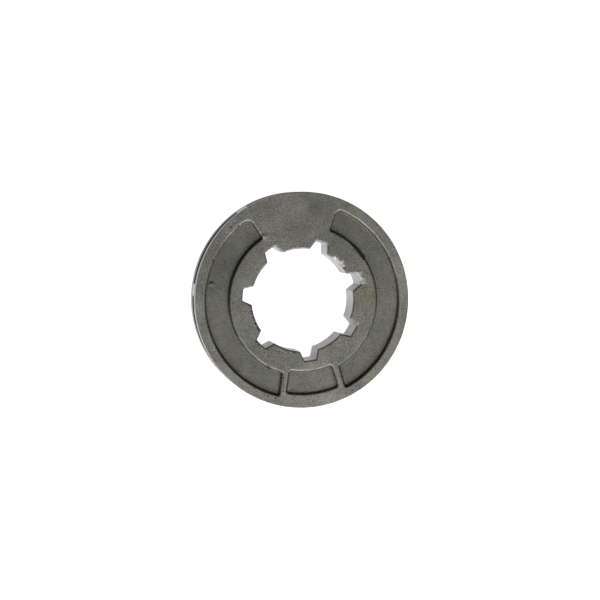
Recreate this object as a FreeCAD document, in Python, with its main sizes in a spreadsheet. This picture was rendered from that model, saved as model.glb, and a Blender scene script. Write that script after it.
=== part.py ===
"""Rim sprocket for a chainsaw: one casting that slides on the splined hub of the clutch drum.

Two flanges carry the chain's side links. Between them stand seven teeth, and the drive links drop into the
seven pockets that the teeth leave. The bore has seven gaps for the splines of the hub, each under a tooth.
The front face is lightened by two long recesses and has a small pocket for a mark between two ribs.

Frame: the origin is on the axis in the plane of the plain back face, +Z points to the front face, and the
mark pocket lies towards -Y. Lengths are millimetres and angles are degrees.
"""
import FreeCAD, Part
import math
import os

import Sketcher

# Driving dimensions: name, value and what it measures.
DIMENSIONS = (
    ("outer_diameter", 36.0, "over the flanges and the tooth tops"),
    ("flange_thickness", 2.0, "each of the two flanges"),
    ("slot_width", 2.0, "between the flanges, where the drive links run"),
    ("tooth_count", 7, "teeth, pockets and spline gaps"),
    ("tooth_top_width", 2.0, "straight across a tooth at the rim"),
    ("tooth_flank_angle", 12.0, "tooth flank to the middle of the tooth"),
    ("pocket_floor_wall", 2.4, "from the root of a spline gap to the pocket floor"),
    ("pocket_corner_radius", 1.2, "where a tooth meets the pocket floor"),
    ("bore_diameter", 17.1, "over the splines of the bore"),
    ("spline_depth", 1.55, "from the bore to the root of a gap"),
    ("spline_gap_width", 2.0, "straight across a gap at its root"),
    ("spline_flank_angle", 18.0, "gap flank to the middle of the gap"),
    ("spline_corner_radius", 0.25, "upright corners of the bore"),
    ("hub_wall", 2.35, "from the root of a spline gap to the recesses"),
    ("rim_land", 1.7, "flat ring outside the recesses"),
    ("web_half_angle", 27.0, "half of the full web opposite the mark pocket"),
    ("recess_depth", 0.8, "of the two long recesses"),
    ("recess_web_corner_radius", 1.0, "upright corners of the recesses between the web and the rim"),
    ("recess_corner_radius", 0.35, "other upright corners of the recesses"),
    ("rib_width", 1.1, "each rib beside the mark pocket"),
    ("rib_half_angle", 12.2, "rib to the middle of the mark pocket"),
    ("rib_apex_height", 5.5, "from the axis to where the sides of the mark pocket would meet"),
    ("mark_hub_wall", 1.7, "from the root of a spline gap to the mark pocket"),
    ("mark_rim_land", 2.4, "flat ring outside the mark pocket"),
    ("mark_depth", 0.7, "of the mark pocket"),
    ("mark_corner_radius", 0.5, "upright corners of the mark pocket"),
    ("floor_chamfer", 0.2, "where the walls of the recesses and the mark pocket meet their floors"),
    ("edge_chamfer", 0.18, "edges of the bore, the recesses and the mark pocket on the two faces"),
    ("rim_edge_chamfer", 0.06, "edges of the rim on the two faces"),
    ("mouth_chamfer", 0.1, "edges of the drive link pockets on the rim"),
)

# Slack for telling one edge from another, far below the smallest dimension.
NEAR = 0.01
# How far a cutting profile runs out past the rim.
OVERRUN = 1.0
# Largest chamfer round an upright corner, as a share of the corner's radius.
CORNER_SHARE = 0.8
# Directions of -Y and +Y as angles from +X.
DOWN_ANGLE, UP_ANGLE = -90, 90

# Points of a sketch element, and the sketch's own origin and axes.
START, END, CENTRE = range(1, 4)
ORIGIN = (-1, 1)
HORIZONTAL_AXIS, VERTICAL_AXIS = range(-1, -3, -1)

# Sizes that follow from the driving dimensions, as expressions on the sheet.
OVERALL_WIDTH = "(2 * Dimensions.flange_thickness + Dimensions.slot_width)"
OUTER_RADIUS = "(Dimensions.outer_diameter / 2)"
BORE_RADIUS = "(Dimensions.bore_diameter / 2)"
ROOT_RADIUS = f"({BORE_RADIUS} + Dimensions.spline_depth)"
POCKET_FLOOR_RADIUS = f"({ROOT_RADIUS} + Dimensions.pocket_floor_wall)"
RECESS_INNER_RADIUS = f"({ROOT_RADIUS} + Dimensions.hub_wall)"
RECESS_OUTER_RADIUS = f"({OUTER_RADIUS} - Dimensions.rim_land)"
RECESS_FLOOR = f"({OVERALL_WIDTH} - Dimensions.recess_depth)"
RIB_APEX = "(Dimensions.rib_apex_height + Dimensions.rib_width / sin(Dimensions.rib_half_angle * 1 deg))"
MARK_INNER_RADIUS = f"({ROOT_RADIUS} + Dimensions.mark_hub_wall)"
MARK_OUTER_RADIUS = f"({OUTER_RADIUS} - Dimensions.mark_rim_land)"
MARK_FLOOR = f"({OVERALL_WIDTH} - Dimensions.mark_depth)"
HALF_PITCH = "(180 / Dimensions.tooth_count)"
FACE_CHAMFER = f"min(Dimensions.edge_chamfer; {CORNER_SHARE} * Dimensions.spline_corner_radius)"
RECESS_CHAMFER = f"min(Dimensions.floor_chamfer; {CORNER_SHARE} * Dimensions.recess_corner_radius)"
MARK_CHAMFER = f"min(Dimensions.floor_chamfer; {CORNER_SHARE} * Dimensions.mark_corner_radius)"


def make_sheet(doc):
    """Put the driving dimensions in a sheet, one to a row, with their names as aliases."""
    sheet = doc.addObject("Spreadsheet::Sheet", "Dimensions")
    for row, (alias, value, meaning) in enumerate(DIMENSIONS, start=1):
        sheet.set(f"A{row}", alias)
        sheet.set(f"B{row}", str(value))
        sheet.set(f"C{row}", meaning)
        sheet.setAlias(f"B{row}", alias)
    doc.recompute()


def value_of(item, expression):
    """Plain number that an expression on the sheet gives in the document of a sketch or body."""
    return float(item.Document.Dimensions.evalExpression(expression))


def origin_feature(body, role):
    """Origin plane or axis of a body by its role."""
    return next(feature for feature in body.Origin.OriginFeatures if feature.Role == role)


def add_sketch(body, name, height=None, turn=None):
    """Sketch across the axis, lifted to a height and turned about the axis by expressions on the sheet."""
    sketch = body.newObject("Sketcher::SketchObject", name)
    sketch.AttachmentSupport = [(origin_feature(body, "XY_Plane"), "")]
    sketch.MapMode = "FlatFace"
    if height:
        sketch.setExpression("AttachmentOffset.Base.z", height)
    if turn:
        sketch.setExpression("AttachmentOffset.Rotation.Angle", turn)
    return sketch


def bind(sketch, name, expression, kind, *elements):
    """Add a dimension to a sketch and tie it to the sheet."""
    value = value_of(sketch, expression)
    if kind == "Angle":
        value = math.radians(value)
    index = sketch.addConstraint(Sketcher.Constraint(kind, *elements, value))
    sketch.renameConstraint(index, name)
    sketch.setExpression(f"Constraints.{name}", expression)


def join(sketch, first, second):
    """Make two points of a sketch one."""
    sketch.addConstraint(Sketcher.Constraint("Coincident", *first, *second))


def lay_on(sketch, point, line):
    """Keep a point of a sketch on a line or an axis."""
    sketch.addConstraint(Sketcher.Constraint("PointOnObject", *point, line))


def add_line(sketch, start, end):
    return sketch.addGeometry(Part.LineSegment(start, end), False)


def add_guide_point(sketch, position):
    return sketch.addGeometry(Part.Point(position), True)


def add_arc(sketch, radius, start_angle, end_angle):
    """Arc about the sketch's origin, counterclockwise."""
    circle = Part.Circle(FreeCAD.Vector(), FreeCAD.Vector(0, 0, 1), radius)
    arc = Part.ArcOfCircle(circle, math.radians(start_angle), math.radians(end_angle))
    index = sketch.addGeometry(arc, False)
    join(sketch, (index, CENTRE), ORIGIN)
    return index


def add_lower_arc(sketch, radius, turn):
    """Arc about the sketch's origin that turns equally far to both sides of -Y."""
    return add_arc(sketch, radius, DOWN_ANGLE - turn, DOWN_ANGLE + turn)


def at_angle(radius, angle):
    return FreeCAD.Vector(radius * math.cos(math.radians(angle)), radius * math.sin(math.radians(angle)), 0)


def turn_of(point):
    """Angle by which a point of a sketch leaves -Y, towards +X."""
    return math.degrees(math.atan2(point.x, -point.y))


def mirrored(point):
    """The same point on the other side of the sketch's Y axis."""
    return FreeCAD.Vector(-point.x, point.y, 0)


def crossing(start, turn, radius):
    """Point where a line, turned from -Y towards +X, leaves the circle of a radius about the axis."""
    along = at_angle(1, DOWN_ANGLE + turn)
    reach = start.dot(along)
    return start + along * (math.sqrt(reach ** 2 + radius ** 2 - start.dot(start)) - reach)


def add_ring_blank(body):
    """Plain ring of the full width, with the bore over the splines."""
    sketch = add_sketch(body, "RingSketch")
    for name, expression in (("rim", OUTER_RADIUS), ("bore", BORE_RADIUS)):
        radius = value_of(sketch, expression)
        circle = sketch.addGeometry(Part.Circle(FreeCAD.Vector(), FreeCAD.Vector(0, 0, 1), radius), False)
        join(sketch, (circle, CENTRE), ORIGIN)
        bind(sketch, name, expression, "Radius", circle)
    pad = body.newObject("PartDesign::Pad", "RingBlank")
    pad.Profile = sketch
    pad.setExpression("Length", OVERALL_WIDTH)
    body.Document.recompute()


def draw_spline_gap(body):
    """Outline of one gap of the bore, towards -Y. It starts on the sketch's own X axis, inside the bore."""
    sketch = add_sketch(body, "SplineGapSketch")
    root_radius = value_of(sketch, ROOT_RADIUS)
    half_width = value_of(sketch, "Dimensions.spline_gap_width / 2")
    half_turn = math.degrees(math.asin(half_width / root_radius))
    flank_turn = value_of(sketch, "Dimensions.spline_flank_angle")
    root_corner = at_angle(root_radius, DOWN_ANGLE + half_turn)
    mouth_corner = FreeCAD.Vector(half_width - root_corner.y * math.tan(math.radians(flank_turn)), 0, 0)
    root = add_lower_arc(sketch, root_radius, half_turn)
    right = add_line(sketch, root_corner, mouth_corner)
    top = add_line(sketch, mouth_corner, mirrored(mouth_corner))
    left = add_line(sketch, mirrored(mouth_corner), mirrored(root_corner))
    join(sketch, (root, END), (right, START))
    join(sketch, (right, END), (top, START))
    join(sketch, (top, END), (left, START))
    join(sketch, (left, END), (root, START))
    lay_on(sketch, (top, START), HORIZONTAL_AXIS)
    lay_on(sketch, (top, END), HORIZONTAL_AXIS)
    bind(sketch, "root", ROOT_RADIUS, "Radius", root)
    bind(sketch, "right_half", "Dimensions.spline_gap_width / 2", "DistanceX", *ORIGIN, root, END)
    bind(sketch, "left_half", "Dimensions.spline_gap_width / 2", "DistanceX", root, START, *ORIGIN)
    bind(sketch, "right_flank", "90 - Dimensions.spline_flank_angle", "Angle", right)
    bind(sketch, "left_flank", "Dimensions.spline_flank_angle - 90", "Angle", left)
    return sketch


def draw_link_pocket(body):
    """Outline of one drive link pocket, midway between two teeth, on the inside of the back flange."""
    sketch = add_sketch(body, "LinkPocketSketch", "Dimensions.flange_thickness", HALF_PITCH)
    floor_radius = value_of(sketch, POCKET_FLOOR_RADIUS)
    mouth_radius = value_of(sketch, OUTER_RADIUS) + OVERRUN
    flank_turn = f"({HALF_PITCH} + Dimensions.tooth_flank_angle)"
    half_tooth = "asin(Dimensions.tooth_top_width / Dimensions.outer_diameter)"
    corner_turn = f"({HALF_PITCH} * 1 deg - {half_tooth})"
    corner_x = f"{OUTER_RADIUS} * sin({corner_turn})"
    corner_y = f"{OUTER_RADIUS} * cos({corner_turn})"
    rim_corner = FreeCAD.Vector(value_of(sketch, corner_x), -value_of(sketch, corner_y), 0)
    floor_corner = crossing(rim_corner, value_of(sketch, flank_turn), floor_radius)
    mouth_corner = crossing(rim_corner, value_of(sketch, flank_turn), mouth_radius)
    floor = add_lower_arc(sketch, floor_radius, turn_of(floor_corner))
    mouth = add_lower_arc(sketch, mouth_radius, turn_of(mouth_corner))
    right = add_line(sketch, floor_corner, mouth_corner)
    left = add_line(sketch, mirrored(mouth_corner), mirrored(floor_corner))
    right_corner = add_guide_point(sketch, rim_corner)
    left_corner = add_guide_point(sketch, mirrored(rim_corner))
    join(sketch, (floor, END), (right, START))
    join(sketch, (right, END), (mouth, END))
    join(sketch, (mouth, START), (left, START))
    join(sketch, (left, END), (floor, START))
    lay_on(sketch, (right_corner, START), right)
    lay_on(sketch, (left_corner, START), left)
    bind(sketch, "floor", POCKET_FLOOR_RADIUS, "Radius", floor)
    bind(sketch, "mouth", f"{OUTER_RADIUS} + {OVERRUN}", "Radius", mouth)
    bind(sketch, "right_corner_x", corner_x, "DistanceX", *ORIGIN, right_corner, START)
    bind(sketch, "right_corner_y", corner_y, "DistanceY", right_corner, START, *ORIGIN)
    bind(sketch, "left_corner_x", corner_x, "DistanceX", left_corner, START, *ORIGIN)
    bind(sketch, "left_corner_y", corner_y, "DistanceY", left_corner, START, *ORIGIN)
    bind(sketch, "right_flank", f"{flank_turn} - 90", "Angle", right)
    bind(sketch, "left_flank", f"90 - {flank_turn}", "Angle", left)
    return sketch


def draw_side_recess(body):
    """Outline of the long recess on the +X side, from its rib round to the web."""
    sketch = add_sketch(body, "SideRecessSketch", OVERALL_WIDTH)
    inner_radius = value_of(sketch, RECESS_INNER_RADIUS)
    outer_radius = value_of(sketch, RECESS_OUTER_RADIUS)
    rib_turn = value_of(sketch, "Dimensions.rib_half_angle")
    web_angle = UP_ANGLE - value_of(sketch, "Dimensions.web_half_angle")
    apex_point = FreeCAD.Vector(0, value_of(sketch, RIB_APEX), 0)
    inner_corner = crossing(apex_point, rib_turn, inner_radius)
    outer_corner = crossing(apex_point, rib_turn, outer_radius)
    inner = add_arc(sketch, inner_radius, DOWN_ANGLE + turn_of(inner_corner), web_angle)
    outer = add_arc(sketch, outer_radius, DOWN_ANGLE + turn_of(outer_corner), web_angle)
    rib = add_line(sketch, inner_corner, outer_corner)
    web = add_line(sketch, at_angle(inner_radius, web_angle), at_angle(outer_radius, web_angle))
    apex = add_guide_point(sketch, apex_point)
    join(sketch, (rib, START), (inner, START))
    join(sketch, (rib, END), (outer, START))
    join(sketch, (web, START), (inner, END))
    join(sketch, (web, END), (outer, END))
    lay_on(sketch, (apex, START), VERTICAL_AXIS)
    lay_on(sketch, (apex, START), rib)
    lay_on(sketch, ORIGIN, web)
    bind(sketch, "inner", RECESS_INNER_RADIUS, "Radius", inner)
    bind(sketch, "outer", RECESS_OUTER_RADIUS, "Radius", outer)
    bind(sketch, "apex", RIB_APEX, "DistanceY", *ORIGIN, apex, START)
    bind(sketch, "rib", "Dimensions.rib_half_angle - 90", "Angle", rib)
    bind(sketch, "web", "90 - Dimensions.web_half_angle", "Angle", web)
    return sketch


def draw_mark_pocket(body):
    """Outline of the mark pocket towards -Y, between the two ribs."""
    sketch = add_sketch(body, "MarkPocketSketch", OVERALL_WIDTH)
    inner_radius = value_of(sketch, MARK_INNER_RADIUS)
    outer_radius = value_of(sketch, MARK_OUTER_RADIUS)
    rib_turn = value_of(sketch, "Dimensions.rib_half_angle")
    apex_point = FreeCAD.Vector(0, value_of(sketch, "Dimensions.rib_apex_height"), 0)
    inner_corner = crossing(apex_point, rib_turn, inner_radius)
    outer_corner = crossing(apex_point, rib_turn, outer_radius)
    inner = add_lower_arc(sketch, inner_radius, turn_of(inner_corner))
    outer = add_lower_arc(sketch, outer_radius, turn_of(outer_corner))
    right = add_line(sketch, inner_corner, outer_corner)
    left = add_line(sketch, mirrored(inner_corner), mirrored(outer_corner))
    apex = add_guide_point(sketch, apex_point)
    join(sketch, (right, START), (inner, END))
    join(sketch, (right, END), (outer, END))
    join(sketch, (left, START), (inner, START))
    join(sketch, (left, END), (outer, START))
    lay_on(sketch, (apex, START), VERTICAL_AXIS)
    lay_on(sketch, (apex, START), right)
    lay_on(sketch, (apex, START), left)
    bind(sketch, "inner", MARK_INNER_RADIUS, "Radius", inner)
    bind(sketch, "outer", MARK_OUTER_RADIUS, "Radius", outer)
    bind(sketch, "apex", "Dimensions.rib_apex_height", "DistanceY", *ORIGIN, apex, START)
    bind(sketch, "right_side", "Dimensions.rib_half_angle - 90", "Angle", right)
    bind(sketch, "left_side", "-90 - Dimensions.rib_half_angle", "Angle", left)
    return sketch


def add_cut(body, feature):
    """Make a new cut the tip of the body, and check that it took metal away."""
    before = body.Tip.Shape.Volume
    body.Tip = feature
    body.Document.recompute()
    if not feature.Shape.Volume < before - NEAR:
        raise RuntimeError(f"{feature.Name} cuts nothing")


def add_pocket(body, sketch, name, length, upward=False):
    """Cut a sketch out of the body, down from the sketch unless upward."""
    base = body.Tip
    pocket = body.newObject("PartDesign::Pocket", name)
    pocket.Profile = sketch
    pocket.Reversed = upward
    pocket.setExpression("Length", length)
    body.Tip = base
    add_cut(body, pocket)
    return pocket


def add_ring_pattern(body, feature, name):
    """Repeat a cut about the axis, once for each tooth."""
    pattern = body.newObject("PartDesign::PolarPattern", name)
    pattern.Originals = [feature]
    pattern.Axis = (origin_feature(body, "Z_Axis"), [""])
    pattern.Angle = 360
    pattern.setExpression("Occurrences", "Dimensions.tooth_count")
    body.Tip = feature
    add_cut(body, pattern)


def add_mirror(body, feature, name):
    """Repeat a cut on the other side of the YZ plane."""
    mirror = body.newObject("PartDesign::Mirrored", name)
    mirror.Originals = [feature]
    mirror.MirrorPlane = (origin_feature(body, "YZ_Plane"), [""])
    body.Tip = feature
    add_cut(body, mirror)


def middle_of(edge):
    return edge.valueAt((edge.FirstParameter + edge.LastParameter) / 2)


def radius_of(edge):
    """Distance of an edge's middle from the axis."""
    return math.hypot(middle_of(edge).x, middle_of(edge).y)


def is_upright(edge, bottom, top):
    """True for a straight edge along the axis from a bottom to a top."""
    heights = sorted(vertex.Z for vertex in edge.Vertexes)
    straight = heights[-1] - heights[0] > edge.Length - NEAR
    return straight and abs(heights[0] - bottom) < NEAR and abs(heights[-1] - top) < NEAR


def lies_at(edge, height):
    """True for an edge in a plane across the axis."""
    points = [vertex.Point for vertex in edge.Vertexes] + [middle_of(edge)]
    return all(abs(point.z - height) < NEAR for point in points)


def work_edges(body, name, kind, measure, size, wanted):
    """Round or chamfer the edges of the body that the test picks."""
    base = body.Tip
    edges = [f"Edge{number}" for number, edge in enumerate(base.Shape.Edges, start=1) if wanted(edge)]
    if not edges:
        raise RuntimeError(f"{name} finds no edges")
    feature = body.newObject(kind, name)
    feature.Base = (base, edges)
    feature.setExpression(measure, size)
    body.Tip = feature
    body.Document.recompute()


def add_rounding(body, name, radius, wanted):
    work_edges(body, name, "PartDesign::Fillet", "Radius", radius, wanted)


def add_chamfer(body, name, size, wanted):
    work_edges(body, name, "PartDesign::Chamfer", "Size", size, wanted)


def cut_spline_gaps(body):
    """The gaps of the bore, with every upright corner rounded."""
    width = value_of(body, OVERALL_WIDTH)
    root_radius = value_of(body, ROOT_RADIUS)
    gap = add_pocket(body, draw_spline_gap(body), "SplineGap", OVERALL_WIDTH, upward=True)
    add_ring_pattern(body, gap, "SplineGaps")
    add_rounding(
        body, "SplineCorners", "Dimensions.spline_corner_radius",
        lambda edge: is_upright(edge, 0, width) and radius_of(edge) < root_radius + NEAR,
    )


def cut_link_pockets(body):
    """The pockets between the flanges, which leave the teeth standing."""
    lower = value_of(body, "Dimensions.flange_thickness")
    upper = value_of(body, "Dimensions.flange_thickness + Dimensions.slot_width")
    rim = value_of(body, OUTER_RADIUS)
    floor_radius = value_of(body, POCKET_FLOOR_RADIUS)
    pocket = add_pocket(body, draw_link_pocket(body), "LinkPocket", "Dimensions.slot_width", upward=True)
    add_ring_pattern(body, pocket, "LinkPockets")
    add_rounding(
        body, "PocketCorners", "Dimensions.pocket_corner_radius",
        lambda edge: is_upright(edge, lower, upper) and abs(radius_of(edge) - floor_radius) < NEAR,
    )
    add_chamfer(
        body, "PocketMouths", "Dimensions.mouth_chamfer",
        lambda edge: abs(radius_of(edge) - rim) < NEAR and lower - NEAR < middle_of(edge).z < upper + NEAR,
    )


def cut_side_recesses(body):
    """The two long recesses of the front face."""
    width = value_of(body, OVERALL_WIDTH)
    floor = value_of(body, RECESS_FLOOR)
    middle_radius = value_of(body, f"({RECESS_INNER_RADIUS} + {RECESS_OUTER_RADIUS}) / 2")
    recess = add_pocket(body, draw_side_recess(body), "SideRecess", "Dimensions.recess_depth")
    add_mirror(body, recess, "SideRecesses")

    def is_web_corner(edge):
        return middle_of(edge).y > 0 and radius_of(edge) > middle_radius

    add_rounding(
        body, "RecessCorners", "Dimensions.recess_corner_radius",
        lambda edge: is_upright(edge, floor, width) and not is_web_corner(edge),
    )
    add_rounding(
        body, "RecessWebCorners", "Dimensions.recess_web_corner_radius",
        lambda edge: is_upright(edge, floor, width) and is_web_corner(edge),
    )
    add_chamfer(body, "RecessFloors", RECESS_CHAMFER, lambda edge: lies_at(edge, floor))


def cut_mark_pocket(body):
    """The small pocket between the ribs, left bare."""
    width = value_of(body, OVERALL_WIDTH)
    floor = value_of(body, MARK_FLOOR)
    add_pocket(body, draw_mark_pocket(body), "MarkPocket", "Dimensions.mark_depth")
    add_rounding(
        body, "MarkCorners", "Dimensions.mark_corner_radius",
        lambda edge: is_upright(edge, floor, width),
    )
    add_chamfer(body, "MarkFloor", MARK_CHAMFER, lambda edge: lies_at(edge, floor))


def break_face_edges(body):
    """Take the sharp edges off both faces, least of all at the rim."""
    width = value_of(body, OVERALL_WIDTH)
    rim = value_of(body, OUTER_RADIUS)

    def is_on_face(edge):
        return lies_at(edge, width) or lies_at(edge, 0)

    def is_at_rim(edge):
        return abs(radius_of(edge) - rim) < NEAR

    add_chamfer(body, "FaceEdges", FACE_CHAMFER, lambda edge: is_on_face(edge) and not is_at_rim(edge))
    add_chamfer(
        body, "RimEdges", "Dimensions.rim_edge_chamfer",
        lambda edge: is_on_face(edge) and is_at_rim(edge),
    )


def make_rim_sprocket(doc):
    """The whole sprocket as one body."""
    body = doc.addObject("PartDesign::Body", "RimSprocket")
    body.Label = "rim_sprocket"
    body.Placement = FreeCAD.Placement()
    add_ring_blank(body)
    cut_spline_gaps(body)
    cut_link_pockets(body)
    cut_side_recesses(body)
    cut_mark_pocket(body)
    break_face_edges(body)
    return body


def check(doc, sub_parts):
    """Stop if any object failed or any sub-part has no sound shape."""
    for item in doc.Objects:
        if "Invalid" in item.State or "Error" in item.State:
            raise RuntimeError(f"{item.Name} failed: {item.State}")
    for part in sub_parts:
        if part.Shape.isNull() or not part.Shape.isValid():
            raise RuntimeError(f"{part.Label} has no valid shape")
        if len(part.Shape.Solids) != 1:
            raise RuntimeError(f"{part.Label} is not one solid")


document = FreeCAD.newDocument("RimSprocketModel")
make_sheet(document)
pieces = [make_rim_sprocket(document)]
document.recompute()
check(document, pieces)
os.makedirs("parts", exist_ok=True)
for piece in pieces:
    piece.Shape.exportStep(f"parts/{piece.Label}.step")
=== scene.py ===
"""Looks of the rim sprocket: a grainy steel casting on a white table in soft studio light.

The casting is the CAD node's own mesh, made finer, with its sharp edges worn round and the small faults of a
rough casting added. Lengths are metres, or millimetres times MM, and angles are degrees in the CAD frame.
"""

import math
import random

import bmesh
import bpy
import numpy as np
from mathutils import Matrix, Vector, noise
from mathutils.kdtree import KDTree


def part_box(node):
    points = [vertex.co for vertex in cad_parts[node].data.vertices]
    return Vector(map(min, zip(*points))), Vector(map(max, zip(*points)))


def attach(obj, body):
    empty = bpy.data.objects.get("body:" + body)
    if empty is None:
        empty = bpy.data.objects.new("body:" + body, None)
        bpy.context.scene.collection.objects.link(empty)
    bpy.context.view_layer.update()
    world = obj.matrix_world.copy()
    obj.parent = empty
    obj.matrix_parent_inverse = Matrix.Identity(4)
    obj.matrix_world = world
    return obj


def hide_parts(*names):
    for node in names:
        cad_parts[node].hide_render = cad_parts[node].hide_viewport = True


MM = 0.001

# Camera, worked out from the outline of the photograph.
PHOTO_TURN = 7.8
VIEW_TILT = 10.74
VIEW_TOWARD = 154.82
VIEW_DISTANCE = 300 * MM
LENS = 108.36
SENSOR = 36.0
SHIFT_X, SHIFT_Y = -0.0049, 0.0004

# Mesh: edges sharper than this are worn, and the mesh is finest along them, above all on the front.
SHARP_ANGLE = 12
FLAT_ANGLE = 0.2
WELD = 0.001 * MM
SAMPLE_STEP = 0.1 * MM
FINE, COARSE = 0.17 * MM, 0.8 * MM
REST_FINE, REST_COARSE = 0.8 * MM, 1.6 * MM
FINE_BAND = 0.1 * MM
GROWTH = 1.15
CLOSING_ROUNDS = 4
TURNED_SLACK = 0.05
TURNED_SHARE = 0.3

# Wear of the sharp edges and unevenness of the cast skin.
WORN_BAND = 0.15 * MM
WORN_ROUNDS = 2
WORN_STEP = 0.5
RIM_WEAR = 0.25
WAVE_SIZE = 1.6 * MM
WAVE_HEIGHT = 0.01 * MM
CRUMBLE_SIZE = 0.3 * MM
CRUMBLE_HEIGHT = 0.03 * MM

# The recesses lie between these distances from the axis, within this layer of the front. Points this deep in
# them count as floor, and the floors themselves are at this sink.
RECESS_START = 10.6 * MM
RECESS_END = 17.2 * MM
FRONT_LAYER = 1.3 * MM
RECESS_DEPTH = 0.6 * MM
FLOOR_SINK = 0.8 * MM
# The chain runs in a slot between these heights, and between these distances from the axis.
SLOT_BOTTOM, SLOT_TOP = 1.95 * MM, 4.05 * MM
SLOT_FLOOR, SLOT_MOUTH = 11 * MM, 17.96 * MM
# Bare metal: the walls of the bore end at this distance from the axis. Edges of the bore and the rim of these
# widths keep the cast skin, and the rim is bare to this share.
BORE_END = 10.3 * MM
BORE_EDGE = 0.15 * MM
RIM_EDGE = 0.03 * MM
RIM_SHARE = 0.82
# Ragged bright edges of the bore: distance from the axis, and first and last angle.
RAGGED_EDGES = ((8.55 * MM, 30.5, 46.5), (10.1 * MM, 7.0, 18.5))
RAGGED_WIDTH, RAGGED_SWING = 0.8 * MM, 0.4 * MM
RAGGED_FADE = 0.8 * MM
RAGGED_SHARE = 0.75
RAGGED_GRAIN = 0.4 * MM
# The core of the mould sat a little off centre: its turn, the distances from the axis that bound the walls it
# moved along the hub and the rim, and the length and direction of the shift at each wall.
CORE_TURN = -1.1
CORE_START, HUB_WALL, RIM_WALL, CORE_END = 10.4 * MM, 12.2 * MM, 16.5 * MM, 17.6 * MM
HUB_SHIFT = 0.14 * MM, 327
RIM_SHIFT = 0.1 * MM, 262
# Edges sharper than this are shaded as edges.
CRISP_ANGLE = 28
# Worn edges carry a painted highlight this wide, brightest where they face this way, towards the key lamp.
RIDGE_BAND = 0.18 * MM
HIGHLIGHT_SIDE = 262
HIGHLIGHT_GAIN = 2
# Bare walls get a painted reflection: darkest where they face this way, and fully lit from this share of
# facing it down.
WALL_SHADE_SIDE = 122
WALL_SHADE_START = 0.5

# Painted shadow on the floors along the hub and the rim: reach of both bands and the middle of their
# stretches.
HUB_SHADOW = 1.4 * MM, 98
RIM_SHADOW = 1.2 * MM, 258
SHADOW_SPREAD = 0.05

# Faults of the front in millimetres and degrees: distance from the axis, angle, spread and rise.
FLOOR_LUMPS = (
    (15.5, 162.2, 0.5, 0.24),
    (13.95, 165.0, 0.2, 0.09),
    (14.4, 163.2, 0.16, 0.07),
)
FACE_FAULTS = (
    (12.45, 114.4, 0.6, 0.16),
    (12.2, 112.9, 0.3, 0.06),
    (16.35, 123.2, 0.3, -0.14),
    (16.35, 148.2, 0.34, -0.2),
    (17.25, 127.4, 0.2, -0.18),
    (17.3, 124.6, 0.18, -0.16),
    (16.75, 246.6, 0.24, -0.16),
    (16.8, 242.4, 0.2, -0.16),
    (10.1, 330.0, 0.3, 0.1),
)
# Rows of small faults: distance and angle at both ends, their number, spread and rise.
FAULT_ROWS = (
    ((12.6, 115.6), (15.6, 116.2), 15, 0.26, 0.07),
    ((12.9, 248.2), (15.6, 250.6), 11, 0.17, -0.1),
    ((12.5, 234.0), (12.45, 245.5), 14, 0.17, -0.16),
    ((8.75, 176.0), (8.75, 206.0), 14, 0.18, -0.2),
    ((10.4, 214.0), (8.8, 252.0), 12, 0.16, -0.1),
    ((10.7, 226.0), (11.7, 256.0), 7, 0.12, -0.09),
    ((8.6, 31.0), (8.6, 45.5), 12, 0.55, -0.1),
    ((10.1, 9.0), (10.1, 16.0), 6, 0.52, -0.1),
    ((11.0, 264.0), (10.9, 282.0), 7, 0.14, 0.05),
    ((12.3, 286.0), (15.4, 284.0), 10, 0.17, -0.09),
    ((16.7, 117.0), (16.7, 143.0), 26, 0.22, 0.05),
)
# Faults of a row stray across it by this length and along it by this share of a step, and differ in size and
# rise by these factors.
FAULT_SEED = 7
FAULT_SCATTER = 0.12 * MM
STEP_SCATTER = 0.3
SIZE_RANGE = 0.7, 1.2
RISE_RANGE = 0.5, 1.3
# Pits of a smaller spread than this are dark.
PIT_LIMIT = 0.35 * MM
# The hub's wall slopes along one stretch, which widens from its start towards its end and breaks off there.
SLOPE_START, SLOPE_END, SLOPE_BREAK = 49.0, 26.2, 0.7
SLOPE_RISE, SLOPE_FALL = 0.04, 0.62
SLOPE_MIDDLE = 12.5 * MM
SLOPE_WIDTH = 0.72 * MM
SLOPE_LEAST = 0.02 * MM
SLOPE_DROP = 0.78 * MM
# The mesh is fine at these shares of the slope's width, up to this many degrees past its end, and at these
# turns from the middle of a lump.
SLOPE_SHARES = -0.5, -0.25, 0, 0.25, 0.5
SLOPE_LEAD = 2
LUMP_TURNS = -1, 0, 1
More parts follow.
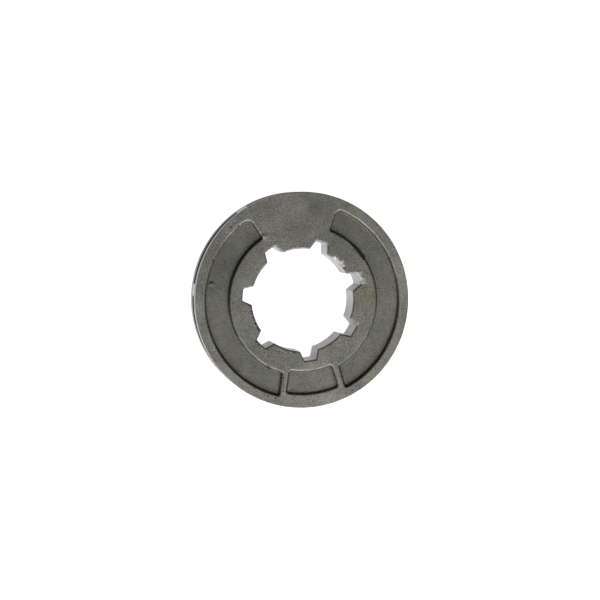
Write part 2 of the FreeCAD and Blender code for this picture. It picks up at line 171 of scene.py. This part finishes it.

# Stains and tints of the front: distance from the axis in millimetres, angle, spread in millimetres and tint.
# The broadest tints lighten the front round 352 and 270 degrees and darken it round 152 and 74 degrees.
STAINS_AND_TINTS = (
    (14.5, 352.0, 6.5, (1.22, 1.22, 1.23, 1)),
    (14.5, 270.0, 6.0, (1.14, 1.14, 1.14, 1)),
    (10.1, 330.4, 0.45, (2.2, 2.2, 2.1, 1)),
    (11.1, 356.0, 3.4, (1.0, 1.01, 0.84, 1)),
    (10.9, 339.8, 0.42, (0.5, 0.38, 0.22, 1)),
    (10.95, 343.5, 0.3, (0.65, 0.55, 0.35, 1)),
    (16.9, 266.0, 1.8, (1.04, 0.95, 0.92, 1)),
    (12.3, 113.6, 0.9, (1.45, 1.45, 1.42, 1)),
    (17.0, 14.0, 2.2, (1.06, 0.98, 0.92, 1)),
    (10.8, 186.0, 1.4, (1.04, 0.95, 0.94, 1)),
    (17.2, 155.0, 1.3, (1.03, 0.95, 0.96, 1)),
    (11.0, 168.0, 1.4, (0.94, 1.0, 0.99, 1)),
    (11.4, 229.0, 4.5, (0.68, 0.69, 0.7, 1)),
    (11.4, 203.0, 4.0, (0.8, 0.82, 0.83, 1)),
    (16.6, 152.0, 7.5, (0.76, 0.76, 0.76, 1)),
    (16.6, 74.0, 6.0, (0.86, 0.86, 0.86, 1)),
    (10.3, 4.0, 0.6, (0.72, 0.72, 0.7, 1)),
    (11.4, 322.0, 2.0, (0.9, 0.9, 0.9, 1)),
    (12.8, 90.0, 3.0, (0.94, 0.93, 0.9, 1)),
    (10.6, 95.0, 1.2, (1.05, 1.03, 0.95, 1)),
)
# A stain's edge is uneven: its grain, and where the stain starts to fade and where it ends, in spreads.
STAIN_GRAIN, STAIN_DETAIL = 0.4, 3
STAIN_CORE, STAIN_END = 0.5, 1.4

# Cast skin: size, detail and roughness of its grains, and the parts of fine grain and mottling in its tone.
FINE_GRAIN = 0.26 * MM, 3, 0.65
COARSE_GRAIN = 0.9 * MM, 2, 0.5
MOTTLE_GRAIN = 5 * MM, 2, 0.5
HUE_GRAIN = 1.6 * MM, 4, 0.6
SPECK_GRAIN = 0.32 * MM, 0, 0.5
FINE_PART, MOTTLE_PART = 0.7, 0.3
NOISE_MIDDLE = 0.5
# Stretches of the noise that make the full change of tone, hue and the rest.
TONE_RANGE = 0.38, 0.62
GRAIN_RANGE = 0.3, 0.7
RIDGE_RANGE = 0.35, 0.6
SPECK_RANGE = 0.745, 0.8
# Colours of the skin, its tints and the painted highlight of its worn edges, and the least brightness of
# that highlight.
SKIN_DARK, SKIN_LIGHT = (0.064, 0.0625, 0.0562, 1), (0.139, 0.1365, 0.1245, 1)
WARM_TINT, COOL_TINT = (1.0, 0.97, 0.92, 1), (0.965, 0.995, 0.98, 1)
RIDGE_HIGHLIGHT_COLOUR = (0.3, 0.3, 0.29, 1)
RIDGE_LEAST = 0.25
# Share of the grain's contrast left on the floors, and shares of the tone left there, inside the hub's wall
# and in specks; the floors are darker partly by their finish and partly as painted shade of the recesses.
FLOOR_CALM = 0.65
FLOOR_RANGE, FLOOR_SHADE = (0.2, 0.9), 0.75
HUB_RANGE, HUB_SHADE = (12.3 * MM, 12.6 * MM), 0.9
SPECK_SHADE = 0.5
# Shares of the tone left by numbers kept at the points: where each takes full hold, and what it leaves. They
# are painted shadow beside the walls, darker pits, and painted shade in the chain's slot.
STORED_SHADES = (("painted_shadow", 1.0, 0.6), ("pit", 0.8, 0.45), ("slot", 1.0, 0.14))
# Bare metal: its colours, its painted brightness on the lit and on the shaded side, and how much smoother it
# is than the skin.
METAL_DARK, METAL_LIGHT = (0.31, 0.31, 0.313, 1), (0.39, 0.39, 0.393, 1)
WALL_LIT_GAIN, WALL_SHADE_GAIN = 1.15, 0.78
BARE_SMOOTHING = 0.15
# The tops of the teeth are bare from this distance from the axis on, and fade at these heights off mid-width.
TOOTH_START = 17.9 * MM
TOOTH_FADE = 0.75 * MM, 1.0 * MM
# Finish of the whole casting.
ROUGHNESS = 0.56, 0.66
SPECULAR_TINT = (0.85, 0.85, 0.85, 1)
BUMP_HEIGHT = 0.08 * MM
BUMP_STRENGTH = 0.7

# Table, with a glow of its own that keeps it white in the casting's shadow.
TABLE_RADIUS = 4.0
TABLE_SIDES = 96
TABLE_DROP = 0.05 * MM
TABLE_GREY = (0.22, 0.22, 0.22, 1)
TABLE_ROUGHNESS = 0.9
TABLE_GLOW = (1, 1, 1, 1)
TABLE_GLOW_STRENGTH = 1.01
# Light tent: strength at the horizon and overhead, and the height from which it is overhead.
HORIZON_LIGHT, OVERHEAD_LIGHT = 0.4, 0.14
OVERHEAD_START = 0.08
# Lamps: distance from the axis, angle, height, width, depth and power in watts.
LAMPS = {
    "key": (152 * MM, -100, 168 * MM, 420 * MM, 320 * MM, 1.76),
    "side": (140 * MM, -8, 260 * MM, 200 * MM, 200 * MM, 0.25),
}


def polar(radius, angle, height=0.0):
    """Point at a radius and an angle about the axis."""
    return Vector((radius * math.cos(math.radians(angle)), radius * math.sin(math.radians(angle)), height))


def smooth_step(value):
    """Ease an array from 0 to 1."""
    share = np.clip(value, 0, 1)
    return share * share * (3 - 2 * share)


def from_axis(points):
    """Distances of points from the axis."""
    return np.hypot(points[:, 0], points[:, 1])


def bearing(points):
    """Angles of points about the axis in degrees."""
    return np.degrees(np.arctan2(points[:, 1], points[:, 0]))


def near_front(points, front):
    """True for the points in the layer of the front."""
    return points[:, 2] > front - FRONT_LAYER


def welded_copy(node):
    """The CAD node's mesh with its corners joined, in even triangles, as an editable mesh."""
    solid = bmesh.new()
    solid.from_mesh(node.data)
    bmesh.ops.remove_doubles(solid, verts=solid.verts, dist=WELD)
    bmesh.ops.triangulate(solid, faces=solid.faces)
    flat_edges = [edge for edge in solid.edges if edge.calc_face_angle(math.pi) < math.radians(FLAT_ANGLE)]
    bmesh.ops.beautify_fill(solid, faces=solid.faces, edges=flat_edges)
    solid.verts.index_update()
    solid.normal_update()
    return solid


def sharp_points(solid, convex):
    """Points along the sharp edges that stand out, or along those that lie in a corner."""
    points = []
    for edge in solid.edges:
        if edge.is_convex == convex and edge.calc_face_angle(0) > math.radians(SHARP_ANGLE):
            start, end = (vertex.co for vertex in edge.verts)
            steps = math.ceil(edge.calc_length() / SAMPLE_STEP)
            points.extend(start.lerp(end, step / steps) for step in range(steps + 1))
    return points


def finder(points):
    """Tree for finding how far a place is from the nearest of some points."""
    tree = KDTree(len(points))
    for index, point in enumerate(points):
        tree.insert(point, index)
    tree.balance()
    return tree


def is_turned(face):
    """True for a facet of a surface that was turned about the axis."""
    centre = face.calc_center_median()
    outward = Vector((centre.x, centre.y, 0)).normalized()
    sideways = Vector((-outward.y, outward.x, 0))
    return abs(face.normal.dot(sideways)) < TURNED_SLACK and abs(face.normal.dot(outward)) > TURNED_SHARE


def distance_to(lines, points):
    """Distances of points from the nearest point of some lines."""
    return np.array([lines.find(point)[2] for point in points])


def find_edges(faces, point_count):
    """Every edge once, as pairs of points, and the edges of each face in the order of its sides."""
    sides = np.sort(np.stack([faces, np.roll(faces, -1, axis=1)], axis=2), axis=2)
    keys, places = np.unique(sides[..., 0] * point_count + sides[..., 1], return_inverse=True)
    return np.stack([keys // point_count, keys % point_count], axis=1), places.reshape(faces.shape)


def rolled(rows, shifts):
    """Each row turned to start at its own shift."""
    return np.take_along_axis(rows, (np.arange(3) + shifts[:, None]) % 3, axis=1)


def split_faces(faces, middles):
    """Cut faces at the middles of their sides, and say which face each piece is from.

    A side that stays whole has -1 for its middle.
    """
    split = middles >= 0
    count = split.sum(axis=1)
    pieces = [faces[count == 0]]
    parents = [np.flatnonzero(count == 0)]

    def add(rows, *corners):
        pieces.append(np.stack(corners, axis=1))
        parents.append(rows)

    rows = np.flatnonzero(count == 1)
    shifts = split[rows].argmax(axis=1)
    a, b, c = rolled(faces[rows], shifts).T
    ab = rolled(middles[rows], shifts)[:, 0]
    add(rows, a, ab, c)
    add(rows, ab, b, c)

    rows = np.flatnonzero(count == 2)
    shifts = split[rows].argmin(axis=1) + 1
    a, b, c = rolled(faces[rows], shifts).T
    ab, bc, _ = rolled(middles[rows], shifts).T
    add(rows, a, ab, bc)
    add(rows, a, bc, c)
    add(rows, ab, b, bc)

    rows = np.flatnonzero(count == 3)
    a, b, c = faces[rows].T
    ab, bc, ca = middles[rows].T
    add(rows, a, ab, ca)
    add(rows, ab, b, bc)
    add(rows, ca, bc, c)
    add(rows, ab, bc, ca)
    return np.concatenate(pieces), np.concatenate(parents)


def refine(solid, lines, front):
    """Points, triangles, edges and distances from the lines, of the solid cut finely along those lines.

    Surfaces that were turned about the axis stay round.
    """
    points = np.array([vertex.co for vertex in solid.verts])
    faces = np.array([[vertex.index for vertex in face.verts] for face in solid.faces])
    turned = np.array([is_turned(face) for face in solid.faces])
    reach = from_axis(points)
    distance = distance_to(lines, points)
    while True:
        edges, face_edges = find_edges(faces, len(points))
        lengths = np.linalg.norm(points[edges[:, 0]] - points[edges[:, 1]], axis=1)
        ahead = points[edges, 2].mean(axis=1) > front - FRONT_LAYER
        growth = GROWTH * np.maximum(distance[edges].mean(axis=1) - FINE_BAND, 0)
        limits = np.where(ahead, FINE, REST_FINE) + growth
        marked = lengths > np.minimum(limits, np.where(ahead, COARSE, REST_COARSE))
        if not marked.any():
            return points, faces, edges, distance
        longest = np.take_along_axis(face_edges, lengths[face_edges].argmax(axis=1)[:, None], axis=1)[:, 0]
        for _ in range(CLOSING_ROUNDS):
            marked[longest[marked[face_edges].any(axis=1)]] = True
        middles = points[edges[marked]].mean(axis=1)
        middle_reach = reach[edges[marked]].mean(axis=1)
        is_round = np.zeros(len(edges), bool)
        is_round[face_edges[turned]] = True
        scale = np.where(is_round[marked], middle_reach / from_axis(middles), 1)
        middles[:, :2] *= scale[:, None]
        numbers = np.full(len(edges), -1)
        numbers[marked] = len(points) + np.arange(len(middles))
        faces, parents = split_faces(faces, numbers[face_edges])
        turned = turned[parents]
        points = np.concatenate([points, middles])
        reach = np.concatenate([reach, middle_reach])
        distance = np.concatenate([distance, distance_to(lines, middles)])


def neighbour_mean(points, edges):
    """Mean of each point's neighbours."""
    ends = np.concatenate([edges[:, 0], edges[:, 1]])
    others = np.concatenate([edges[:, 1], edges[:, 0]])
    count = np.bincount(ends, minlength=len(points))
    total = [np.bincount(ends, weights=points[others, axis], minlength=len(points)) for axis in range(3)]
    return np.stack(total, axis=1) / count[:, None]


def point_normals(points, faces):
    """Unit normals at the points, from the faces round each."""
    a, b, c = (points[faces[:, corner]] for corner in range(3))
    face_normals = np.cross(b - a, c - a)
    corners = faces.ravel()
    shares = np.repeat(face_normals, 3, axis=0)
    total = [np.bincount(corners, weights=shares[:, axis], minlength=len(points)) for axis in range(3)]
    normals = np.stack(total, axis=1)
    return normals / np.linalg.norm(normals, axis=1)[:, None]


def field(points, size):
    """Smooth noise from -1 to 1 at every point, with features of a size."""
    return np.array([noise.noise(Vector(point)) for point in points / size])


def list_faults():
    """Every small fault of the faces as a place, a spread and a rise."""
    shake = random.Random(FAULT_SEED)
    faults = [
        (polar(reach * MM, angle), spread * MM, rise * MM) for reach, angle, spread, rise in FACE_FAULTS
    ]
    for (start_reach, start_angle), (end_reach, end_angle), count, spread, rise in FAULT_ROWS:
        for step in range(count):
            share = (step + shake.uniform(-STEP_SCATTER, STEP_SCATTER)) / (count - 1)
            reach = start_reach + share * (end_reach - start_reach)
            angle = start_angle + share * (end_angle - start_angle)
            place = polar(reach * MM + shake.uniform(-1, 1) * FAULT_SCATTER, angle)
            size = shake.uniform(*SIZE_RANGE)
            faults.append((place, spread * size * MM, rise * size * shake.uniform(*RISE_RANGE) * MM))
    return faults


def sunk_share(points, front):
    """How deep each point lies in a recess of the front, from 0 on the face to 1 on the floor."""
    reach = from_axis(points)
    inside = (reach > RECESS_START) & (reach < RECESS_END) & near_front(points, front)
    return inside * np.clip((front - points[:, 2]) / RECESS_DEPTH, 0, 1)


def slot_share(points):
    """1 for the points in the chain's slot and 0 elsewhere."""
    reach = from_axis(points)
    between = (points[:, 2] > SLOT_BOTTOM) & (points[:, 2] < SLOT_TOP)
    return (between & (reach > SLOT_FLOOR) & (reach < SLOT_MOUTH)).astype(float)


def bare_share(points, front):
    """How bare the metal is: 1 on the walls of the bore, less on its ragged edges and on the rim, else 0."""
    reach = from_axis(points)
    height = points[:, 2]
    bore = (reach < BORE_END) & (height > BORE_EDGE) & (height < front - BORE_EDGE)
    rim = (reach > SLOT_MOUTH) & (height > RIM_EDGE) & (height < front - RIM_EDGE)
    ragged = RAGGED_WIDTH + RAGGED_SWING * field(points, RAGGED_GRAIN)
    angle = bearing(points)
    bare = bore + RIM_SHARE * rim
    for edge, first, last in RAGGED_EDGES:
        beside = (height > front - BORE_EDGE) & (angle > first) & (angle < last)
        bare = np.maximum(bare, RAGGED_SHARE * beside * smooth_step((edge + ragged - reach) / RAGGED_FADE))
    return bare


def wall_shade_share(normals):
    """Painted shade of the bare metal at each point, from 0 to 1 where it faces the shaded side."""
    facing = normals @ np.array(polar(1, WALL_SHADE_SIDE))
    return smooth_step((facing - WALL_SHADE_START) / (1 - WALL_SHADE_START))


def shadow_share(points, sunk):
    """Painted shadow on each point of the recesses, from 0 to 1 beside a wall."""
    reach = from_axis(points)
    angle = bearing(points)
    total = np.zeros(len(points))
    for wall, side, (band, middle) in ((HUB_WALL, 1, HUB_SHADOW), (RIM_WALL, -1, RIM_SHADOW)):
        stretch = smooth_step(SHADOW_SPREAD + np.cos(np.radians(angle - middle)))
        total = total + stretch * (1 - smooth_step(side * (reach - wall) / band))
    return sunk * np.clip(total, 0, 1)


def shift_core(points, front):
    """Move the recesses off centre and turn them, as a core that sat loosely in the mould leaves them."""
    reach = from_axis(points)
    share = smooth_step((reach - CORE_START) / (HUB_WALL - CORE_START))
    share = share * smooth_step((CORE_END - reach) / (CORE_END - RIM_WALL)) * near_front(points, front)
    outward = np.clip((reach - HUB_WALL) / (RIM_WALL - HUB_WALL), 0, 1)[:, None]
    move = (1 - outward) * np.array(polar(*HUB_SHIFT)) + outward * np.array(polar(*RIM_SHIFT))
    sideways = np.stack([-points[:, 1], points[:, 0], np.zeros(len(points))], axis=1)
    return points + share[:, None] * (move + math.radians(CORE_TURN) * sideways)


def slope_hub_wall(points, front):
    """Heights of the points with the sloping stretch of the hub's wall."""
    reach = from_axis(points)
    angle = bearing(points)
    share = np.clip((SLOPE_START - angle) / (SLOPE_START - SLOPE_END), 0, 1)
    growth = np.sin(math.pi * (SLOPE_RISE + (SLOPE_FALL - SLOPE_RISE) * share)) * (share > 0)
    width = SLOPE_WIDTH * growth * smooth_step((angle - SLOPE_END) / SLOPE_BREAK + 1)
    across = (reach - SLOPE_MIDDLE) / np.maximum(width, SLOPE_LEAST) + 0.5
    sloping = (width > SLOPE_LEAST) & (across > 0) & (across < 1)
    return np.where(sloping, front - SLOPE_DROP * across, points[:, 2])


def swell(points, place, spread):
    """1 at a place and 0 from a spread on."""
    away = np.hypot(points[:, 0] - place.x, points[:, 1] - place.y)
    return smooth_step(1 - away / spread)


def pit_share(points, front, faults):
    """How far each point of the front lies in a small pit, from 0 to 1."""
    layer = points[:, 2] > front - RECESS_DEPTH
    share = np.zeros(len(points))
    for place, spread, rise in faults:
        if rise < 0 and spread < PIT_LIMIT:
            share = np.maximum(share, layer * swell(points, place, spread))
    return share


def raise_faults(points, front, faults):
    """Lift the points of the front over the lumps and lower them in the pits."""
    layer = near_front(points, front)
    sunk = sunk_share(points, front)
    lifted = points.copy()
    for reach, angle, spread, rise in FLOOR_LUMPS:
        lifted[:, 2] += sunk * rise * MM * swell(points, polar(reach * MM, angle), spread * MM)
    lifted[:, 2] = np.where(layer, slope_hub_wall(lifted, front), lifted[:, 2])
    for place, spread, rise in faults:
        lifted[:, 2] += layer * rise * swell(points, place, spread)
    return lifted


def wear(points, faces, edges, distance, front):
    """Round the sharp edges of the front, roughen them a little, and make the cast skin slightly uneven."""
    worn = smooth_step(1 - distance / WORN_BAND) * near_front(points, front)
    worn *= np.where(from_axis(points) > CORE_END, RIM_WEAR, 1.0)
    for _ in range(WORN_ROUNDS):
        points = points + WORN_STEP * worn[:, None] * (neighbour_mean(points, edges) - points)
    offset = WAVE_HEIGHT * field(points, WAVE_SIZE) + CRUMBLE_HEIGHT * worn * field(points, CRUMBLE_SIZE)
    return points + offset[:, None] * point_normals(points, faces)


def fine_points(faults, front):
    """Places of the front that need a fine mesh: faults, lumps of the floors and the sloping stretch."""
    places = [Vector((place.x, place.y, front)) for place, _, _ in faults]
    for reach, angle, _, _ in FLOOR_LUMPS:
        places += [polar(reach * MM, angle + turn, front - FLOOR_SINK) for turn in LUMP_TURNS]
    for angle in np.arange(SLOPE_END - SLOPE_LEAD, SLOPE_START):
        for share in SLOPE_SHARES:
            depth = (share - SLOPE_SHARES[0]) * SLOPE_DROP
            places.append(polar(SLOPE_MIDDLE + share * SLOPE_WIDTH, angle, front - depth))
    return places


def add_casting(node):
    """The finished casting, which stands for the CAD node."""
    front = max(vertex.co.z for vertex in node.data.vertices)
    faults = list_faults()
    solid = welded_copy(node)
    ridges = sharp_points(solid, True)
    corners = sharp_points(solid, False)
    lines = finder(ridges + corners + fine_points(faults, front))
    points, faces, edges, distance = refine(solid, lines, front)
    solid.free()
    worn_ridge_highlight = smooth_step(1 - distance_to(finder(ridges), points) / RIDGE_BAND)
    sunk = sunk_share(points, front)
    # Painted shadow beside the walls of the recesses.
    painted_shadow = shadow_share(points, sunk)
    # The slot is painted dark: painted shade under the front flange.
    slot = slot_share(points)
    bare = bare_share(points, front)
    points = wear(points, faces, edges, distance, front)
    points = shift_core(points, front)
    pit = pit_share(points, front, faults)
    points = raise_faults(points, front, faults)
    normals = point_normals(points, faces)
    # Painted highlight on worn edges that face the key lamp.
    highlight_facing = smooth_step(HIGHLIGHT_GAIN * normals @ np.array(polar(1, HIGHLIGHT_SIDE)))
    # Painted reflection: bare walls facing the shaded side are painted darker.
    wall_shade = wall_shade_share(normals)
    mesh = bpy.data.meshes.new("sprocket_casting")
    mesh.from_pydata(points, [], faces)
    mesh.polygons.foreach_set("use_smooth", np.ones(len(faces), bool))
    mesh.set_sharp_from_angle(angle=math.radians(CRISP_ANGLE))
    for name, values in (
        ("worn_ridge_highlight", worn_ridge_highlight * highlight_facing), ("wall_shade", wall_shade), ("pit", pit), ("sunk", sunk), ("painted_shadow", painted_shadow),
        ("slot", slot), ("bare", bare),
    ):
        mesh.attributes.new(name, "FLOAT", "POINT").data.foreach_set("value", values)
    piece = bpy.data.objects.new("sprocket_casting", mesh)
    bpy.context.scene.collection.objects.link(piece)
    return piece


def feed(tree, socket, value):
    """Link a socket to another node's output, or set it to a plain value."""
    if isinstance(value, bpy.types.NodeSocket):
        tree.links.new(value, socket)
    else:
        socket.default_value = value


def calculate(tree, operation, *values):
    """Result of an operation on some values."""
    node = tree.nodes.new("ShaderNodeMath")
    node.operation = operation
    for socket, value in zip(node.inputs, values):
        feed(tree, socket, value)
    return node.outputs[0]


def remap(tree, value, low, high, to_low=0.0, to_high=1.0):
    """Map a range of a value to another range, with nothing beyond its ends."""
    node = tree.nodes.new("ShaderNodeMapRange")
    for name, entry in (
        ("Value", value), ("From Min", low), ("From Max", high), ("To Min", to_low), ("To Max", to_high),
    ):
        feed(tree, node.inputs[name], entry)
    return node.outputs["Result"]


def blend(tree, share, first, second, mode="MIX"):
    """Mix two colours."""
    node = tree.nodes.new("ShaderNodeMix")
    node.data_type = "RGBA"
    node.blend_type = mode
    sockets = {socket.identifier: socket for socket in node.inputs}
    feed(tree, sockets["Factor_Float"], share)
    feed(tree, sockets["A_Color"], first)
    feed(tree, sockets["B_Color"], second)
    return next(socket for socket in node.outputs if socket.identifier == "Result_Color")


def grain(tree, place, size, detail, roughness=0.5):
    """Noise from 0 to 1 with features of a size."""
    node = tree.nodes.new("ShaderNodeTexNoise")
    feed(tree, node.inputs["Vector"], place)
    feed(tree, node.inputs["Scale"], 1 / size)
    feed(tree, node.inputs["Detail"], detail)
    feed(tree, node.inputs["Roughness"], roughness)
    return node.outputs["Fac"]


def grey(tree, value):
    """A value as a colour."""
    node = tree.nodes.new("ShaderNodeCombineColor")
    for channel in ("Red", "Green", "Blue"):
        feed(tree, node.inputs[channel], value)
    return node.outputs["Color"]


def scaled(tree, colour, value):
    """A colour times a value."""
    return blend(tree, 1.0, colour, grey(tree, value), "MULTIPLY")


def stored(tree, name):
    """Number kept at the points of the mesh."""
    node = tree.nodes.new("ShaderNodeAttribute")
    node.attribute_name = name
    return node.outputs["Fac"]


def height_of(tree, place):
    """Height of a place."""
    node = tree.nodes.new("ShaderNodeSeparateXYZ")
    feed(tree, node.inputs["Vector"], place)
    return node.outputs["Z"]


def distance_from_axis(tree, place):
    """Distance of a place from the axis."""
    flat = tree.nodes.new("ShaderNodeVectorMath")
    flat.operation = "MULTIPLY"
    feed(tree, flat.inputs[0], place)
    feed(tree, flat.inputs[1], (1, 1, 0))
    length = tree.nodes.new("ShaderNodeVectorMath")
    length.operation = "LENGTH"
    feed(tree, length.inputs[0], flat.outputs["Vector"])
    return length.outputs["Value"]


def near(tree, place, centre, spread):
    """1 at a centre and 0 from a spread on, uneven at its edge."""
    node = tree.nodes.new("ShaderNodeVectorMath")
    node.operation = "DISTANCE"
    feed(tree, node.inputs[0], place)
    feed(tree, node.inputs[1], centre)
    ragged = calculate(tree, "MULTIPLY", grain(tree, place, STAIN_GRAIN * spread, STAIN_DETAIL), spread)
    away = calculate(tree, "ADD", node.outputs["Value"], ragged)
    return remap(tree, away, STAIN_CORE * spread, STAIN_END * spread, 1.0, 0.0)


def new_material(name):
    """Empty material and its node tree."""
    material = bpy.data.materials.new(name)
    material.use_nodes = True
    material.node_tree.nodes.clear()
    return material, material.node_tree


def add_shader(tree, entries):
    """Shader of a material with some of its inputs fed."""
    shader = tree.nodes.new("ShaderNodeBsdfPrincipled")
    for name, value in entries.items():
        feed(tree, shader.inputs[name], value)
    output = tree.nodes.new("ShaderNodeOutputMaterial")
    feed(tree, output.inputs["Surface"], shader.outputs["BSDF"])


def skin_colour(tree, place, outward, fine, coarse, front):
    """Warm grey with fine grain and mottling, with a painted highlight on worn edges and partly painted shade
    in the recesses.
    """
    mottle = grain(tree, place, *MOTTLE_GRAIN)
    hue = grain(tree, place, *HUE_GRAIN)
    sunk = stored(tree, "sunk")
    tone = calculate(tree, "MULTIPLY", fine, FINE_PART)
    tone = calculate(tree, "ADD", tone, calculate(tree, "MULTIPLY", mottle, MOTTLE_PART))
    contrast = remap(tree, sunk, 0.0, 1.0, 1.0, FLOOR_CALM)
    tone = calculate(tree, "SUBTRACT", tone, NOISE_MIDDLE)
    tone = calculate(tree, "MULTIPLY_ADD", tone, contrast, NOISE_MIDDLE)
    colour = blend(tree, remap(tree, tone, *TONE_RANGE), SKIN_DARK, SKIN_LIGHT)
    tint = blend(tree, remap(tree, hue, *GRAIN_RANGE), WARM_TINT, COOL_TINT)
    colour = blend(tree, 1.0, colour, tint, "MULTIPLY")
    for reach, angle, spread, spot_tint in STAINS_AND_TINTS:
        spot = near(tree, place, polar(reach * MM, angle, front), spread * MM)
        colour = blend(tree, spot, colour, blend(tree, 1.0, colour, spot_tint, "MULTIPLY"))
    # Floors darker partly by their finish, partly as painted shade.
    shade = remap(tree, sunk, *FLOOR_RANGE, 1.0, FLOOR_SHADE)
    shade = calculate(tree, "MULTIPLY", shade, remap(tree, outward, *HUB_RANGE, HUB_SHADE, 1.0))
    for name, full, left in STORED_SHADES:
        shade = calculate(tree, "MULTIPLY", shade, remap(tree, stored(tree, name), 0.0, full, 1.0, left))
    colour = scaled(tree, colour, shade)
    specks = grain(tree, place, *SPECK_GRAIN)
    colour = scaled(tree, colour, remap(tree, specks, *SPECK_RANGE, 1.0, SPECK_SHADE))
    # Painted highlight on the worn edges, broken up by the grain.
    highlight_strength = remap(tree, coarse, *RIDGE_RANGE, RIDGE_LEAST, 1.0)
    return blend(tree, calculate(tree, "MULTIPLY", stored(tree, "worn_ridge_highlight"), highlight_strength), colour, RIDGE_HIGHLIGHT_COLOUR)


def bare_metal(tree, place, outward, coarse, front):
    """Share and colour of the bare metal, with painted shade on walls that face the shaded side."""
    aside = calculate(tree, "ABSOLUTE", calculate(tree, "SUBTRACT", height_of(tree, place), front / 2))
    tooth_top = remap(tree, aside, *TOOTH_FADE, remap(tree, outward, TOOTH_START, SLOT_MOUTH), 0.0)
    share = calculate(tree, "MAXIMUM", stored(tree, "bare"), tooth_top)
    # Painted shade on walls facing the shaded side, none on the tops of the teeth.
    wall_shade = calculate(tree, "MULTIPLY", stored(tree, "wall_shade"), calculate(tree, "SUBTRACT", 1.0, tooth_top))
    colour = blend(tree, remap(tree, coarse, *GRAIN_RANGE), METAL_DARK, METAL_LIGHT)
    return share, scaled(tree, colour, remap(tree, wall_shade, 0.0, 1.0, WALL_LIT_GAIN, WALL_SHADE_GAIN))


def make_cast_steel(front):
    """Grainy cast skin, with bare metal on the walls of the bore, the rim and the tops of the teeth."""
    material, tree = new_material("cast_steel")
    place = tree.nodes.new("ShaderNodeTexCoord").outputs["Object"]
    outward = distance_from_axis(tree, place)
    fine = grain(tree, place, *FINE_GRAIN)
    coarse = grain(tree, place, *COARSE_GRAIN)
    skin = skin_colour(tree, place, outward, fine, coarse, front)
    bare, metal = bare_metal(tree, place, outward, coarse, front)
    rough = remap(tree, coarse, *GRAIN_RANGE, *ROUGHNESS)
    smoothing = remap(tree, bare, RAGGED_SHARE, 1.0, 0.0, BARE_SMOOTHING)
    bump = tree.nodes.new("ShaderNodeBump")
    feed(tree, bump.inputs["Distance"], BUMP_HEIGHT)
    feed(tree, bump.inputs["Strength"], BUMP_STRENGTH)
    feed(tree, bump.inputs["Height"], fine)
    add_shader(tree, {
        "Metallic": 1.0,
        "Specular Tint": SPECULAR_TINT,
        "Base Color": blend(tree, bare, skin, metal),
        "Roughness": calculate(tree, "SUBTRACT", rough, smoothing),
        "Normal": bump.outputs["Normal"],
    })
    return material


def make_table_white():
    """White table with a glow of its own, so that it stays white in the casting's shadow."""
    material, tree = new_material("table_white")
    add_shader(tree, {
        "Base Color": TABLE_GREY,
        "Roughness": TABLE_ROUGHNESS,
        "Specular IOR Level": 0.0,
        "Emission Color": TABLE_GLOW,
        "Emission Strength": TABLE_GLOW_STRENGTH,
    })
    return material


def add_table():
    """Large round table just under the casting."""
    mesh = bpy.data.meshes.new("table")
    top = bmesh.new()
    bmesh.ops.create_circle(top, cap_ends=True, segments=TABLE_SIDES, radius=TABLE_RADIUS)
    bmesh.ops.translate(top, verts=top.verts, vec=(0, 0, -TABLE_DROP))
    top.to_mesh(mesh)
    top.free()
    table = bpy.data.objects.new("table", mesh)
    bpy.context.scene.collection.objects.link(table)
    mesh.materials.append(make_table_white())


def add_world():
    """Light tent: pale round the horizon and dim overhead."""
    world = bpy.data.worlds.new("light_tent")
    world.use_nodes = True
    tree = world.node_tree
    tree.nodes.clear()
    direction = tree.nodes.new("ShaderNodeTexCoord").outputs["Generated"]
    strength = remap(tree, height_of(tree, direction), 0.0, OVERHEAD_START, HORIZON_LIGHT, OVERHEAD_LIGHT)
    sky = tree.nodes.new("ShaderNodeBackground")
    feed(tree, sky.inputs["Strength"], strength)
    output = tree.nodes.new("ShaderNodeOutputWorld")
    feed(tree, output.inputs["Surface"], sky.outputs["Background"])
    bpy.context.scene.world = world


def add_area_light(name, place, target, width, depth, power):
    """Oval lamp that faces a target and is not seen itself."""
    lamp = bpy.data.lights.new(name, "AREA")
    lamp.shape = "ELLIPSE"
    lamp.size = width
    lamp.size_y = depth
    lamp.energy = power
    light = bpy.data.objects.new(name, lamp)
    light.location = place
    light.rotation_euler = (place - target).to_track_quat("Z", "Y").to_euler()
    light.visible_camera = False
    bpy.context.scene.collection.objects.link(light)


def add_camera(target):
    """Camera at the photograph's angle, with its frame turned as the photograph's."""
    back = polar(math.sin(math.radians(VIEW_TILT)), VIEW_TOWARD, math.cos(math.radians(VIEW_TILT)))
    across = polar(1, -PHOTO_TURN)
    right = (across - across.dot(back) * back).normalized()
    up = back.cross(right)
    lens = bpy.data.cameras.new("camera")
    lens.lens = LENS
    lens.sensor_width = SENSOR
    lens.shift_x = SHIFT_X
    lens.shift_y = SHIFT_Y
    camera = bpy.data.objects.new("camera", lens)
    turn = Matrix((right, up, back)).transposed().to_4x4()
    camera.matrix_world = Matrix.Translation(target + VIEW_DISTANCE * back) @ turn
    bpy.context.scene.collection.objects.link(camera)
    bpy.context.scene.camera = camera


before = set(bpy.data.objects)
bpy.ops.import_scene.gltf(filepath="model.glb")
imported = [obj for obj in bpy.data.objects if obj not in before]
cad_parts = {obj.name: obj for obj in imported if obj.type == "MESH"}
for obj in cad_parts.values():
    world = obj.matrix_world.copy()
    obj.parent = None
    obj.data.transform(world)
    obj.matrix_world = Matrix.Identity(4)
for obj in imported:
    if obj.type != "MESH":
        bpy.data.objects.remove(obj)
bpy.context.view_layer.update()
front_centre = Vector((0, 0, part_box("rim_sprocket")[1].z))

casting = add_casting(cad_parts["rim_sprocket"])
casting.data.materials.append(make_cast_steel(front_centre.z))
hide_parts("rim_sprocket")
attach(casting, "root")

add_table()
add_world()
for name, (reach, angle, height, width, depth, power) in LAMPS.items():
    add_area_light(name, polar(reach, angle, height), front_centre, width, depth, power)
add_camera(front_centre)
bpy.context.scene.view_settings.view_transform = "Standard"
